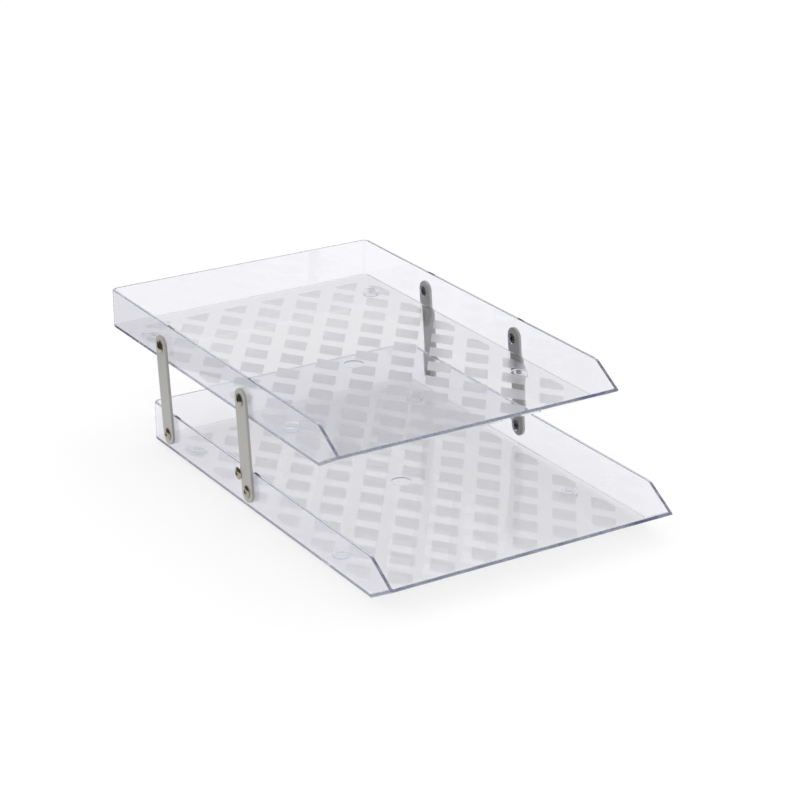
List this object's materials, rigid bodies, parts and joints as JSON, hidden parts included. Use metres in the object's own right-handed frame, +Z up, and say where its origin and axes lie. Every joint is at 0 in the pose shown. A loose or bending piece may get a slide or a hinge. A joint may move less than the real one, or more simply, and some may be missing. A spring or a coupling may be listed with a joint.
{
  "type": "articulated double letter tray",
  "caption": "Clear open-front letter trays, one above the other, on flat side arms that swing as a parallelogram: the upper tray stays level as it folds onto the lower.",
  "frame": {"origin": "middle of the object's outline at rest, at the bottom of the lower tray's feet", "axes": "+X to the right seen from the open front, +Y from the open front to the back wall, +Z up"},
  "size_m": [0.2644, 0.4538, 0.1141],
  "materials": {
    "clear_polystyrene": "clear polished polystyrene with a frosted lattice on the floor",
    "arm_paint": "satin warm grey paint on flat steel",
    "nickel": "bright nickel plate",
    "nylon": "natural nylon"
  },
  "bodies": {
    "lower_tray": {"lower_tray": "clear_polystyrene", "rear_left_lower_screw": "nickel", "rear_left_lower_post": "nickel", "rear_left_lower_washer": "nylon", "rear_right_lower_screw": "nickel", "rear_right_lower_post": "nickel", "rear_right_lower_washer": "nylon", "front_left_lower_screw": "nickel", "front_left_lower_post": "nickel", "front_left_lower_washer": "nylon", "front_right_lower_screw": "nickel", "front_right_lower_post": "nickel", "front_right_lower_washer": "nylon", "stop_screw": "nickel", "stop_post": "nickel", "stop_sleeve": "nylon"},
    "upper_tray": {"upper_tray": "clear_polystyrene", "rear_left_upper_screw": "nickel", "rear_left_upper_post": "nickel", "rear_left_upper_washer": "nylon", "rear_right_upper_screw": "nickel", "rear_right_upper_post": "nickel", "rear_right_upper_washer": "nylon", "front_left_upper_screw": "nickel", "front_left_upper_post": "nickel", "front_left_upper_washer": "nylon", "front_right_upper_screw": "nickel", "front_right_upper_post": "nickel", "front_right_upper_washer": "nylon"},
    "rear_left_arm": {"rear_left_arm": "arm_paint"},
    "rear_right_arm": {"rear_right_arm": "arm_paint"},
    "front_left_arm": {"front_left_arm": "arm_paint"},
    "front_right_arm": {"front_right_arm": "arm_paint"}
  },
  "joints": [
    {"name": "rear_left_arm_swing", "type": "hinge", "parent": "lower_tray", "child": "rear_left_arm", "pos_m": [-0.12895, 0.11962, 0.0194], "axis": [1, 0, 0], "range_deg": [0, 71.2]},
    {"name": "rear_right_arm_swing", "type": "hinge", "parent": "lower_tray", "child": "rear_right_arm", "pos_m": [0.12895, 0.11962, 0.0194], "axis": [1, 0, 0], "range_deg": [0, 71.2]},
    {"name": "front_left_arm_swing", "type": "hinge", "parent": "lower_tray", "child": "front_left_arm", "pos_m": [-0.12895, -0.01698, 0.0194], "axis": [1, 0, 0], "range_deg": [0, 71.2]},
    {"name": "front_right_arm_swing", "type": "hinge", "parent": "lower_tray", "child": "front_right_arm", "pos_m": [0.12895, -0.01698, 0.0194], "axis": [1, 0, 0], "range_deg": [0, 71.2]},
    {"name": "upper_tray_level", "type": "hinge", "parent": "front_left_arm", "child": "upper_tray", "pos_m": [-0.12895, -0.00872, 0.09424], "axis": [1, 0, 0], "range_deg": [-71.2, 0]}
  ],
  "couplings": [
    {"joint": "rear_left_arm_swing", "follows": "front_left_arm_swing", "ratio": 1},
    {"joint": "rear_right_arm_swing", "follows": "front_left_arm_swing", "ratio": 1},
    {"joint": "front_right_arm_swing", "follows": "front_left_arm_swing", "ratio": 1},
    {"joint": "upper_tray_level", "follows": "front_left_arm_swing", "ratio": -1}
  ]
}
